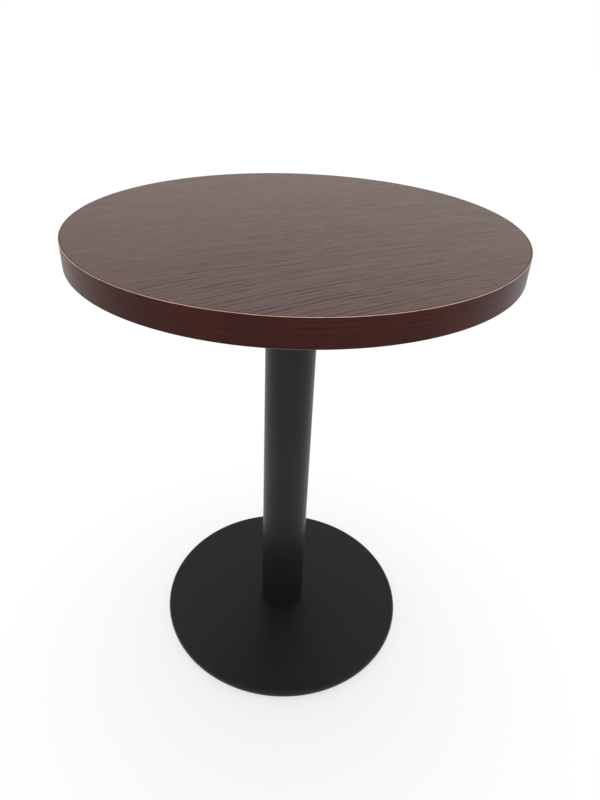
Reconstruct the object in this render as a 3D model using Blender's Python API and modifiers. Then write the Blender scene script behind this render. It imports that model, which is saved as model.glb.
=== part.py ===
"""Round pedestal table: a wood-grain laminate top on a black steel column and disc base.

Metres, +Z up. The origin is on the floor, on the column's axis, and the table's back is at +Y.
A tie rod clamps the column tube between the base plate and a stepped cross bracket, the spider,
which is screwed to the top from below. Four levelling feet screw into the base plate.
"""

import math

import bmesh
import bpy
from mathutils import Matrix

# Table top
TABLE_HEIGHT = 0.730
TOP_DIAMETER = 0.600
TOP_THICKNESS = 0.034
SHEET_THICKNESS = 0.0008
BAND_THICKNESS = 0.002
BAND_EASE = 0.001
BAND_SEAM = 0.0004

# Column and its locating rings
COLUMN_DIAMETER = 0.076
COLUMN_WALL = 0.002
RING_WALL = 0.005
RING_HEIGHT = 0.012
RING_CHAMFER = 0.001

# Base plate
PLATE_DIAMETER = 0.430
PLATE_THICKNESS = 0.010
PLATE_EDGE_ROUND = 0.006
PLATE_UNDER_CHAMFER = 0.0008

# Spider under the top
SPIDER_ARMS = 4
SPIDER_SPAN = 0.320
SPIDER_BAR_WIDTH = 0.040
SPIDER_BAR_THICKNESS = 0.005
SPIDER_END_ROUND = 0.012
SPIDER_LEG_RUN = 0.020
SPIDER_ROOT = 0.015
HUB_MARGIN = 0.012
HUB_RAISE = 0.0015

# Wood screws, two in each arm of the spider
SCREW_DIAMETER = 0.005
SCREW_HEAD_DIAMETER = 0.0095
SCREW_HEAD_HEIGHT = 0.0034
SCREW_HEAD_RIM = 0.0008
SCREW_TIP = 0.004
SCREW_COVER = 0.0146
SCREW_END_INSET = 0.014
SCREW_SPACING = 0.050

# Tie rod, nuts and washers
ROD_DIAMETER = 0.012
ROD_CHAMFER = 0.001
ROD_RECESS = 0.001
ROD_OVERHANG = 0.0025
ROD_HEADROOM = 0.005
ROD_HOLE_CLEARANCE = 0.0005
NUT_WALL = 0.003
NUT_HEIGHT = 0.010
JAM_NUT_HEIGHT = 0.007
NUT_CHAMFER = 0.0008
WASHER_RIM = 0.006
WASHER_THICKNESS = 0.0025
SPRING_WASHER_RIM = 0.0042
SPRING_WASHER_THICKNESS = 0.003
SPRING_WASHER_SPLIT = 0.0015

# Levelling feet
FOOT_COUNT = 4
FOOT_EDGE_INSET = 0.040
STUD_DIAMETER = 0.008
STUD_CHAMFER = 0.0008
STUD_HOLE_ROOF = 0.0015
COLLAR_WALL = 0.0025
COLLAR_HEIGHT = 0.0025
NECK_DIAMETER = 0.005
BUTTON_LIP = 0.0015
BUTTON_HEIGHT = 0.0012
PAD_DIAMETER = 0.030
PAD_FLOOR = 0.0012
PAD_LIP = 0.002
PAD_EASE = 0.001

# Gap between pieces that touch, and between a thread and its hole
SEAT = 0.0003

# How far a cutter runs past the faces that it cuts through
CUT_PAST = 0.002

# Facets round each piece
TOP_FACETS = 96
PLATE_FACETS = 96
COLUMN_FACETS = 48
ROD_FACETS = 24
FOOT_FACETS = 24
SCREW_FACETS = 12
ROUND_STEPS = 4
ARRIS_STEPS = 2
DOME_STEPS = 3

MERGE_DISTANCE = 0.00001
SHARP_ANGLE = math.radians(35)

# Heights of the seats, from the floor up
PAD_HEIGHT = PAD_FLOOR + BUTTON_HEIGHT + 2 * SEAT + PAD_LIP
COLLAR_BOTTOM = PAD_HEIGHT + SEAT
PLATE_BOTTOM = COLLAR_BOTTOM + COLLAR_HEIGHT + SEAT
PLATE_TOP = PLATE_BOTTOM + PLATE_THICKNESS
STUD_HOLE_TOP = PLATE_TOP - STUD_HOLE_ROOF
TOP_BOTTOM = TABLE_HEIGHT - TOP_THICKNESS
NUT_STACK = WASHER_THICKNESS + SPRING_WASHER_THICKNESS + NUT_HEIGHT + 3 * SEAT
ARM_TOP = TOP_BOTTOM - SEAT
ARM_BOTTOM = ARM_TOP - SPIDER_BAR_THICKNESS
HUB_DROP = NUT_STACK + ROD_OVERHANG + ROD_HEADROOM
HUB_TOP = ARM_TOP - HUB_DROP
ROOT_TOP = HUB_TOP - HUB_RAISE
ROOT_BOTTOM = ROOT_TOP - SPIDER_BAR_THICKNESS
HUB_BOTTOM = ROOT_BOTTOM - HUB_RAISE
ROD_TOP = HUB_TOP + NUT_STACK + ROD_OVERHANG
CORE_BOTTOM = TOP_BOTTOM + SHEET_THICKNESS + SEAT
CORE_TOP = TABLE_HEIGHT - SHEET_THICKNESS - SEAT
SCREW_SEAT = ARM_BOTTOM - SEAT
SCREW_LENGTH = TABLE_HEIGHT - SCREW_COVER - SCREW_SEAT

# Radii that several pieces share
TOP_RADIUS = TOP_DIAMETER / 2
BOARD_RADIUS = TOP_RADIUS - BAND_THICKNESS - SEAT
COLUMN_RADIUS = COLUMN_DIAMETER / 2
COLUMN_BORE = COLUMN_RADIUS - COLUMN_WALL
PLATE_RADIUS = PLATE_DIAMETER / 2
HUB_RADIUS = COLUMN_RADIUS + HUB_MARGIN
ROD_RADIUS = ROD_DIAMETER / 2
THREAD_BORE = ROD_RADIUS + SEAT
SCREW_RADIUS = SCREW_DIAMETER / 2
SCREW_HOLE = SCREW_RADIUS + SEAT
STUD_RADIUS = STUD_DIAMETER / 2
FOOT_CIRCLE = PLATE_RADIUS - FOOT_EDGE_INSET


def clear_scene():
    for item in list(bpy.data.objects):
        bpy.data.objects.remove(item, do_unlink=True)


def new_collection(name):
    collection = bpy.data.collections.new(name)
    bpy.context.scene.collection.children.link(collection)
    return collection


def new_material(name, colour, roughness, metallic=0.0):
    material = bpy.data.materials.new(name)
    material.use_nodes = True
    shader = material.node_tree.nodes["Principled BSDF"]
    shader.inputs["Base Color"].default_value = (*colour, 1.0)
    shader.inputs["Roughness"].default_value = roughness
    shader.inputs["Metallic"].default_value = metallic
    material.diffuse_color = (*colour, 1.0)
    return material


clear_scene()
TABLE = new_collection("round_table")
CUTTERS = new_collection("round_table_cutters")

FACE_LAMINATE = new_material("face_laminate", (0.105, 0.048, 0.038), 0.38)
EDGE_LAMINATE = new_material("edge_laminate", (0.060, 0.020, 0.016), 0.30)
BACK_LAMINATE = new_material("back_laminate", (0.070, 0.040, 0.032), 0.60)
PARTICLE_BOARD = new_material("particle_board", (0.420, 0.300, 0.180), 0.90)
BLACK_COAT = new_material("black_powder_coat", (0.013, 0.013, 0.014), 0.55)
ZINC_STEEL = new_material("zinc_steel", (0.600, 0.600, 0.580), 0.35, 1.0)
BLACK_NYLON = new_material("black_nylon", (0.020, 0.020, 0.021), 0.60)


def new_object(name, mesh, z, collection):
    piece = bpy.data.objects.new(name, mesh)
    piece.location = (0.0, 0.0, z)
    collection.objects.link(piece)
    return piece


def turned(name, profile, facets, z=0.0, ring=False):
    """A shape turned about Z, from (radius, height) points that run down its outer side.

    A ring's profile closes on itself, and a solid's starts and ends on the axis.
    """
    mesh = bpy.data.meshes.new(name)
    points = [(radius, 0.0, height) for radius, height in profile]
    edges = [(i, i + 1) for i in range(len(points) - 1)]
    if ring:
        edges.append((len(points) - 1, 0))
    mesh.from_pydata(points, edges, [])
    piece = new_object(name, mesh, z, TABLE)
    turn = piece.modifiers.new("Turn", "SCREW")
    turn.axis = "Z"
    turn.angle = 2 * math.pi
    turn.steps = facets
    turn.render_steps = facets
    turn.use_merge_vertices = True
    turn.merge_threshold = MERGE_DISTANCE
    return piece


def prism(name, sides, radius, height, z=0.0, collection=TABLE):
    """An upright prism, standing on its own base."""
    mesh = bpy.data.meshes.new(name)
    shape = bmesh.new()
    bmesh.ops.create_cone(shape, cap_ends=True, segments=sides, radius1=radius, radius2=radius, depth=height)
    bmesh.ops.translate(shape, verts=shape.verts, vec=(0.0, 0.0, height / 2))
    shape.to_mesh(mesh)
    shape.free()
    return new_object(name, mesh, z, collection)


def block(name, size, centre):
    """A box that cuts a slit."""
    mesh = bpy.data.meshes.new(name)
    shape = bmesh.new()
    bmesh.ops.create_cube(shape, size=1.0)
    bmesh.ops.scale(shape, verts=shape.verts, vec=size)
    shape.to_mesh(mesh)
    shape.free()
    cutter = new_object(name, mesh, 0.0, CUTTERS)
    cutter.location = centre
    return cutter


def combine(piece, other, operation):
    """Cut a piece by another shape, join it to one or keep what they share."""
    other.hide_render = True
    other.display_type = "WIRE"
    step = piece.modifiers.new(other.name, "BOOLEAN")
    step.operation = operation
    step.solver = "EXACT"
    step.object = other


def finish(piece, material):
    """Apply a piece's modifiers, and shade it smooth with its real corners kept sharp."""
    depsgraph = bpy.context.evaluated_depsgraph_get()
    mesh = bpy.data.meshes.new_from_object(piece.evaluated_get(depsgraph))
    mesh.name = piece.name
    mesh.materials.clear()
    mesh.materials.append(material)
    mesh.shade_smooth()
    mesh.set_sharp_from_angle(angle=SHARP_ANGLE)
    piece.modifiers.clear()
    piece.data = mesh


def rounded_edge(outer, top, size, steps):
    """Points of a disc's rounded upper edge, from its top face round to its side."""
    turns = [step * math.pi / 2 / steps for step in range(steps + 1)]
    return [(outer - size * (1 - math.sin(a)), top - size * (1 - math.cos(a))) for a in turns]


def ring_profile(inner, outer, height, chamfer=0.0):
    """A flat ring with its outer edges chamfered."""
    if chamfer == 0.0:
        return [(inner, height), (outer, height), (outer, 0.0), (inner, 0.0)]
    return [
        (inner, height),
        (outer - chamfer, height),
        (outer, height - chamfer),
        (outer, chamfer),
        (outer - chamfer, 0.0),
        (inner, 0.0),
    ]


def screw_places():
    """Where the wood screws stand: two along each of the spider's arms."""
    outer = SPIDER_SPAN / 2 - SCREW_END_INSET
    places = []
    for arm in range(SPIDER_ARMS):
        angle = arm * 2 * math.pi / SPIDER_ARMS
        for reach in (outer, outer - SCREW_SPACING):
            places.append((reach * math.cos(angle), reach * math.sin(angle)))
    return places


def drill(piece, places, facets, radius, bottom, top):
    """Cut an upright round hole through a piece at each place."""
    for number, (x, y) in enumerate(places, start=1):
        cutter = prism(f"{piece.name}_hole_{number}", facets, radius, top - bottom, bottom, CUTTERS)
        cutter.location.x = x
        cutter.location.y = y
        combine(piece, cutter, "DIFFERENCE")


def foot_places():
    """Where the levelling feet stand, on a circle set in from the base plate's edge."""
    angles = [(number + 0.5) * 2 * math.pi / FOOT_COUNT for number in range(FOOT_COUNT)]
    return [(FOOT_CIRCLE * math.cos(a), FOOT_CIRCLE * math.sin(a)) for a in angles]


def make_top_core():
    """The board, with a blind pilot hole for each wood screw."""
    core = prism("top_core", TOP_FACETS, BOARD_RADIUS, CORE_TOP - CORE_BOTTOM, CORE_BOTTOM)
    pilot_top = SCREW_SEAT + SCREW_LENGTH + SEAT
    drill(core, screw_places(), SCREW_FACETS, SCREW_HOLE, CORE_BOTTOM - CUT_PAST, pilot_top)
    finish(core, PARTICLE_BOARD)


def make_top_sheets():
    """The laminate on top, and the balancing sheet that the screws pass through."""
    face = prism("top_face_sheet", TOP_FACETS, BOARD_RADIUS, SHEET_THICKNESS, CORE_TOP + SEAT)
    finish(face, FACE_LAMINATE)
    back = prism("top_back_sheet", TOP_FACETS, BOARD_RADIUS, SHEET_THICKNESS, TOP_BOTTOM)
    drill(back, screw_places(), SCREW_FACETS, SCREW_HOLE, TOP_BOTTOM - CUT_PAST, CORE_BOTTOM + CUT_PAST)
    finish(back, BACK_LAMINATE)


def make_top_edge_band():
    """The band round the board's edge, eased at both arrises, with its butt seam at the back."""
    ease = min(BAND_EASE, BAND_THICKNESS, TOP_THICKNESS / 2)
    inner = TOP_RADIUS - BAND_THICKNESS
    upper = [(inner, TOP_THICKNESS), *rounded_edge(TOP_RADIUS, TOP_THICKNESS, ease, ARRIS_STEPS)]
    lower = [(radius, TOP_THICKNESS - height) for radius, height in reversed(upper)]
    band = turned("top_edge_band", upper + lower, TOP_FACETS, TOP_BOTTOM, ring=True)
    seam_size = (BAND_SEAM, BAND_THICKNESS + 2 * CUT_PAST, TOP_THICKNESS + 2 * CUT_PAST)
    seam_centre = (0.0, TOP_RADIUS - BAND_THICKNESS / 2, TOP_BOTTOM + TOP_THICKNESS / 2)
    combine(band, block("band_seam", seam_size, seam_centre), "DIFFERENCE")
    finish(band, EDGE_LAMINATE)


def arm_outline():
    """Side view of one arm, from its root in the hub up the leg to its end: (reach, height)."""
    root = HUB_RADIUS - SPIDER_ROOT
    knee = HUB_RADIUS + SPIDER_LEG_RUN
    reach = SPIDER_SPAN / 2
    lean = math.atan2(ARM_TOP - ROOT_TOP, SPIDER_LEG_RUN)
    mitre = SPIDER_BAR_THICKNESS * math.tan(lean / 2)
    return [
        (root, ROOT_TOP),
        (HUB_RADIUS, ROOT_TOP),
        (knee, ARM_TOP),
        (reach, ARM_TOP),
        (reach, ARM_BOTTOM),
        (knee + mitre, ARM_BOTTOM),
        (HUB_RADIUS + mitre, ROOT_BOTTOM),
        (root, ROOT_BOTTOM),
    ]


def spider_arm(name, angle):
    """One arm of flat bar, stepped up from the hub, with its end's corners rounded."""
    outline = arm_outline()
    curve = bpy.data.curves.new(name, "CURVE")
    curve.dimensions = "2D"
    curve.fill_mode = "BOTH"
    curve.extrude = SPIDER_BAR_WIDTH / 2
    spline = curve.splines.new("POLY")
    spline.points.add(len(outline) - 1)
    spline.use_cyclic_u = True
    for point, (reach, height) in zip(spline.points, outline):
        point.co = (reach, height, 0.0, 1.0)
    side_view = new_object(name + "_outline", curve, 0.0, CUTTERS)
    depsgraph = bpy.context.evaluated_depsgraph_get()
    mesh = bpy.data.meshes.new_from_object(side_view.evaluated_get(depsgraph))
    bpy.data.objects.remove(side_view, do_unlink=True)

    shape = bmesh.new()
    shape.from_mesh(mesh)
    bmesh.ops.remove_doubles(shape, verts=shape.verts, dist=MERGE_DISTANCE)
    end = SPIDER_SPAN / 2 - MERGE_DISTANCE
    end_edges = [edge for edge in shape.edges if min(v.co.x for v in edge.verts) > end]
    corners = [edge for edge in end_edges if edge.verts[0].co.z * edge.verts[1].co.z > 0]
    rounding = min(SPIDER_END_ROUND, SPIDER_BAR_WIDTH / 2 - SEAT)
    bmesh.ops.bevel(shape, geom=corners, offset=rounding, segments=ROUND_STEPS, profile=0.5, affect="EDGES")
    upright = Matrix.Rotation(angle, 4, "Z") @ Matrix.Rotation(math.pi / 2, 4, "X")
    bmesh.ops.transform(shape, matrix=upright, verts=shape.verts)
    bmesh.ops.recalc_face_normals(shape, faces=shape.faces)
    shape.to_mesh(mesh)
    shape.free()
    return new_object(name, mesh, 0.0, CUTTERS)


def make_spider():
    """Stepped arms joined to a round hub, drilled for the tie rod and the wood screws."""
    spider = prism("spider", COLUMN_FACETS, HUB_RADIUS, HUB_TOP - HUB_BOTTOM, HUB_BOTTOM)
    for arm in range(SPIDER_ARMS):
        combine(spider, spider_arm(f"arm_{arm + 1}", arm * 2 * math.pi / SPIDER_ARMS), "UNION")
    rod_hole = ROD_RADIUS + ROD_HOLE_CLEARANCE
    drill(spider, screw_places(), SCREW_FACETS, SCREW_HOLE, ARM_BOTTOM - CUT_PAST, ARM_TOP + CUT_PAST)
    drill(spider, [(0.0, 0.0)], ROD_FACETS, rod_hole, HUB_BOTTOM - CUT_PAST, HUB_TOP + CUT_PAST)
    finish(spider, BLACK_COAT)


def make_spider_screws():
    """Pan-head wood screws, each seated under an arm with its tip up in the board."""
    head = SCREW_HEAD_DIAMETER / 2
    crown = SCREW_HEAD_HEIGHT - SCREW_HEAD_RIM
    turns = [step * math.pi / 2 / DOME_STEPS for step in range(DOME_STEPS)]
    dome = [(head * math.cos(a), -SCREW_HEAD_RIM - crown * math.sin(a)) for a in turns]
    profile = [
        (0.0, SCREW_LENGTH),
        (SCREW_RADIUS, SCREW_LENGTH - SCREW_TIP),
        (SCREW_RADIUS, 0.0),
        (head, 0.0),
        *dome,
        (0.0, -SCREW_HEAD_HEIGHT),
    ]
    for number, (x, y) in enumerate(screw_places(), start=1):
        screw = turned(f"spider_screw_{number}", profile, SCREW_FACETS, SCREW_SEAT)
        screw.location.x = x
        screw.location.y = y
        finish(screw, ZINC_STEEL)


def make_column():
    bottom = PLATE_TOP + SEAT
    length = HUB_BOTTOM - SEAT - bottom
    tube = ring_profile(COLUMN_BORE, COLUMN_RADIUS, length)
    finish(turned("column_tube", tube, COLUMN_FACETS, bottom, ring=True), BLACK_COAT)
    outer = COLUMN_BORE - SEAT
    ring = ring_profile(outer - RING_WALL, outer, RING_HEIGHT, RING_CHAMFER)
    places = {
        "base_locating_ring": PLATE_TOP + SEAT,
        "spider_locating_ring": HUB_BOTTOM - SEAT - RING_HEIGHT,
    }
    for name, z in places.items():
        finish(turned(name, ring, COLUMN_FACETS, z, ring=True), BLACK_COAT)


def make_nut(name, height, z):
    """A hex nut: a six-sided prism kept only inside a ring whose chamfers cut its corners."""
    corners = (ROD_RADIUS + NUT_WALL) / math.cos(math.pi / 6)
    blank = ring_profile(THREAD_BORE, corners + SEAT, height, NUT_CHAMFER + SEAT)
    nut = turned(name, blank, ROD_FACETS, z, ring=True)
    hexagon = prism(name + "_flats", 6, corners, height + 2 * CUT_PAST, z - CUT_PAST, CUTTERS)
    combine(nut, hexagon, "INTERSECT")
    finish(nut, ZINC_STEEL)


def make_tie_rod():
    """The rod from the base plate's thread to the spider's hub, with its nuts and washers."""
    bottom = PLATE_BOTTOM + ROD_RECESS
    length = ROD_TOP - bottom
    narrow = ROD_RADIUS - ROD_CHAMFER
    profile = [
        (0.0, length),
        (narrow, length),
        (ROD_RADIUS, length - ROD_CHAMFER),
        (ROD_RADIUS, ROD_CHAMFER),
        (narrow, 0.0),
        (0.0, 0.0),
    ]
    finish(turned("tie_rod", profile, ROD_FACETS, bottom), ZINC_STEEL)
    make_nut("tie_rod_jam_nut", JAM_NUT_HEIGHT, PLATE_TOP + SEAT)

    washer_seat = HUB_TOP + SEAT
    washer = ring_profile(THREAD_BORE, THREAD_BORE + WASHER_RIM, WASHER_THICKNESS)
    finish(turned("tie_rod_washer", washer, ROD_FACETS, washer_seat, ring=True), ZINC_STEEL)

    spring_seat = washer_seat + WASHER_THICKNESS + SEAT
    spring_outer = THREAD_BORE + SPRING_WASHER_RIM
    spring_profile = ring_profile(THREAD_BORE, spring_outer, SPRING_WASHER_THICKNESS)
    spring = turned("tie_rod_spring_washer", spring_profile, ROD_FACETS, spring_seat, ring=True)
    split_width = SPRING_WASHER_RIM + 2 * CUT_PAST
    split_height = SPRING_WASHER_THICKNESS + 2 * CUT_PAST
    split_size = (SPRING_WASHER_SPLIT, split_width, split_height)
    split_centre = (0.0, SPRING_WASHER_RIM / 2 - spring_outer, spring_seat + SPRING_WASHER_THICKNESS / 2)
    combine(spring, block("spring_split", split_size, split_centre), "DIFFERENCE")
    finish(spring, ZINC_STEEL)

    make_nut("tie_rod_nut", NUT_HEIGHT, spring_seat + SPRING_WASHER_THICKNESS + SEAT)


def make_base_plate():
    """The steel disc, rounded on top, tapped through for the rod and blind for the feet."""
    chamfer = min(PLATE_UNDER_CHAMFER, PLATE_THICKNESS / 4)
    rounding = min(PLATE_EDGE_ROUND, PLATE_THICKNESS - 2 * chamfer)
    rim = rounded_edge(PLATE_RADIUS, PLATE_THICKNESS, rounding, ROUND_STEPS)
    profile = [
        (THREAD_BORE, PLATE_THICKNESS),
        *rim,
        (PLATE_RADIUS, chamfer),
        (PLATE_RADIUS - chamfer, 0.0),
        (THREAD_BORE, 0.0),
    ]
    plate = turned("base_plate", profile, PLATE_FACETS, PLATE_BOTTOM, ring=True)
    hole_radius = STUD_RADIUS + SEAT
    drill(plate, foot_places(), FOOT_FACETS, hole_radius, PLATE_BOTTOM - CUT_PAST, STUD_HOLE_TOP)
    finish(plate, BLACK_COAT)


def pad_profile():
    """The pad's section: up the socket that its stud's button is snapped into, and down its outside."""
    mouth = NECK_DIAMETER / 2 + SEAT
    socket = mouth + BUTTON_LIP
    socket_top = PAD_HEIGHT - PAD_LIP
    outer = PAD_DIAMETER / 2
    return [
        (0.0, PAD_FLOOR),
        (socket, PAD_FLOOR),
        (socket, socket_top),
        (mouth, socket_top),
        (mouth, PAD_HEIGHT),
        (outer - PAD_EASE, PAD_HEIGHT),
        (outer, PAD_HEIGHT - PAD_EASE),
        (outer, PAD_EASE),
        (outer - PAD_EASE, 0.0),
        (0.0, 0.0),
    ]


def stud_profile():
    """The stud's section without its collar, from the shank's end down to the button."""
    shank_end = STUD_HOLE_TOP - SEAT
    button_bottom = PAD_FLOOR + SEAT
    button_top = button_bottom + BUTTON_HEIGHT
    neck = NECK_DIAMETER / 2
    button = neck + BUTTON_LIP
    collar_middle = COLLAR_BOTTOM + COLLAR_HEIGHT / 2
    return [
        (0.0, shank_end),
        (STUD_RADIUS - STUD_CHAMFER, shank_end),
        (STUD_RADIUS, shank_end - STUD_CHAMFER),
        (STUD_RADIUS, collar_middle),
        (neck, collar_middle),
        (neck, button_top),
        (button, button_top),
        (button, button_bottom),
        (0.0, button_bottom),
    ]


def make_feet():
    """Each foot is a pad and a stud under an empty on the foot's own axis."""
    collar_corners = (STUD_RADIUS + COLLAR_WALL) / math.cos(math.pi / 6)
    for number, (x, y) in enumerate(foot_places(), start=1):
        axis = new_object(f"foot_{number}_axis", None, 0.0, TABLE)
        axis.location = (x, y, 0.0)

        pad = turned(f"foot_pad_{number}", pad_profile(), FOOT_FACETS)
        finish(pad, BLACK_NYLON)

        stud = turned(f"foot_stud_{number}", stud_profile(), FOOT_FACETS)
        collar = prism(f"collar_{number}", 6, collar_corners, COLLAR_HEIGHT, COLLAR_BOTTOM, CUTTERS)
        combine(stud, collar, "UNION")
        finish(stud, ZINC_STEEL)

        pad.parent = axis
        stud.parent = axis


make_top_core()
make_top_sheets()
make_top_edge_band()
make_spider()
make_spider_screws()
make_column()
make_tie_rod()
make_base_plate()
make_feet()
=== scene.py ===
"""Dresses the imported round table: finer meshes, its finishes and a plain studio to show it in.

Metres, +Z up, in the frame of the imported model, with the table's back at +Y.
"""

import functools
import math
from contextlib import contextmanager

import bmesh
import bpy
from bpy.props import FloatProperty, FloatVectorProperty, IntProperty, PointerProperty
from bpy.types import Operator, Panel, PropertyGroup
from mathutils import Color, Matrix, Vector


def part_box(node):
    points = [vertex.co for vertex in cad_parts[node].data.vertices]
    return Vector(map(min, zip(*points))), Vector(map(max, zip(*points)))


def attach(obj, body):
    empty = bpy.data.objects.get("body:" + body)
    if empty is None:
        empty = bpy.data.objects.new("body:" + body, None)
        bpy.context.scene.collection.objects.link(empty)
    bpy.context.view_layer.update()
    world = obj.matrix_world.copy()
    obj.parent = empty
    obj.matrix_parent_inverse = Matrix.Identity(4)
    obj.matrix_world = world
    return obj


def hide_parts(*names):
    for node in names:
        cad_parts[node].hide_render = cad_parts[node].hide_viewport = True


bl_info = {
    "name": "Round pedestal table",
    "version": (1, 0, 0),
    "blender": (4, 5, 0),
    "location": "View3D > Sidebar > Table",
    "description": "Builds the finished pieces of a round pedestal table and a studio around it",
    "category": "Object",
}

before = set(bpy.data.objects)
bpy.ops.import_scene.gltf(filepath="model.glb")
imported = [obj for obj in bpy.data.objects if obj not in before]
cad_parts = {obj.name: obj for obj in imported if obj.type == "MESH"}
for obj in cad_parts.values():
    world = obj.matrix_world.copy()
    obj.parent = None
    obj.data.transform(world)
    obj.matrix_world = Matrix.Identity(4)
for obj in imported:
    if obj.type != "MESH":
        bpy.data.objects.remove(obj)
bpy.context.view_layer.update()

UNDO = {"REGISTER", "UNDO"}
SCREW_COUNT = 8
FOOT_COUNT = 4
ARM_COUNT = 4

ORIGIN = (0, 0, 0)
QUARTER_TURN = math.pi / 2
FULL_TURN = 2 * math.pi

# Distances that only the making of a mesh needs
MERGE = 1e-6
NEAR = 2e-5
START_SIZE = 0.01
CUT_PAST = 0.003

# Angles from which an edge is shaded as a corner, and from which a bar's edges are rounded
CORNER_ANGLE = math.radians(32)
BAR_EDGE_ANGLE = math.radians(50)

# About an axis that points down, a spin runs anticlockwise seen from above
SPIN_AXIS = (0, 0, -1)

# A thread's depth, and where its root and its crest are flat, as shares of its pitch
THREAD_DEPTH = 0.6
ROOT_FLAT = (0.0, 4 / 16)
CREST_FLAT = (9 / 16, 11 / 16)

# Half the angle of a hexagon's side, the slope of its turned corners, and its round face as a share of
# its flats
HEX_HALF = math.pi / 6
HEX_SLOPE = math.radians(30)
HEX_FACE = 0.95

# A weld bead's steps and ripples, and its length as a share of the arm's width
BEAD_SIDES = 10
BEAD_RINGS = 48
BEAD_RIPPLES = 12
BEAD_SHARE = 0.98

# Steps up a screw's crown, and how its cross recess narrows along, across and into the head
CROWN_STEPS = 8
RECESS_TAPER = (0.45, 0.7, 1.0)


def low(node):
    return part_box(node)[0]


def high(node):
    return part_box(node)[1]


def span(node):
    """Outer radius, lower height and upper height of a node that is centred on the axis."""
    return high(node).x, low(node).z, high(node).z


def half_width(node):
    return (high(node).x - low(node).x) / 2


def foot_of(node):
    """Where a node's own upright axis meets the floor."""
    centre = (low(node) + high(node)) / 2
    return Vector((centre.x, centre.y, 0.0))


def setting(kind, **form):
    """A short way to write properties of one kind: name, description, default."""

    def make(name, description, default):
        return kind(name=name, description=description, default=default, **form)

    return make


count = setting(IntProperty, min=1)
number = setting(FloatProperty)
metres = setting(FloatProperty, unit="LENGTH", precision=5)
angle = setting(FloatProperty, subtype="ANGLE")
colour = setting(FloatVectorProperty, subtype="COLOR", size=3, min=0.0, max=1.0)


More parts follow.
